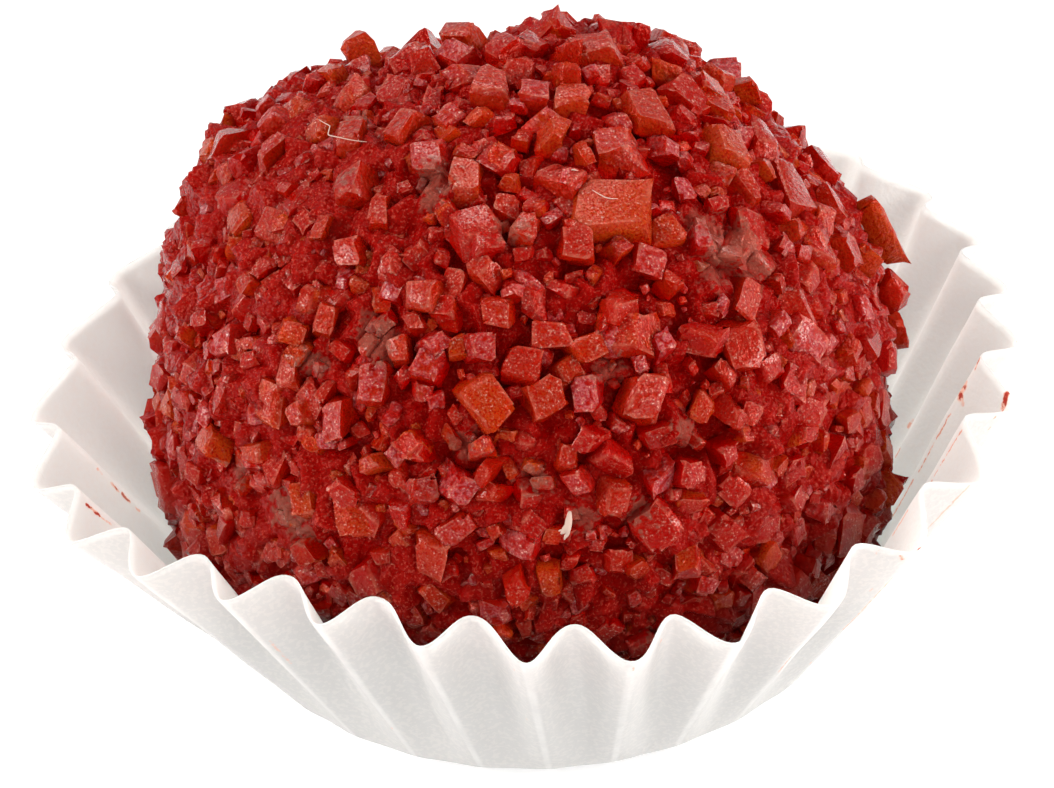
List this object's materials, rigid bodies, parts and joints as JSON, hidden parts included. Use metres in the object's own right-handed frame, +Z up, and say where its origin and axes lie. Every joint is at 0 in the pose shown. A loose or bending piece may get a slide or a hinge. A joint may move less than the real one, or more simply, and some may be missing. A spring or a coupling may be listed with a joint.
{
  "type": "brigadeiro",
  "caption": "Round hand-rolled brigadeiro coated in coarse red sugar crystals, sitting in a flared, fluted white paper case.",
  "frame": {"origin": "on the surface that the case stands on, below the middle of the rim's outline", "axes": "+Z up; -Y towards the side that the picture shows; +X to the right in the picture"},
  "size_m": [0.0436, 0.0424, 0.0286],
  "materials": {
    "red_sugar": "frosted coarse sugar crystals, deep red with pink and amber pieces",
    "white_paper": "thin greaseproof paper, matte, slightly translucent"
  },
  "bodies": {
    "root": {"coated_sweet": "red_sugar", "paper_case": "white_paper"}
  },
  "joints": []
}
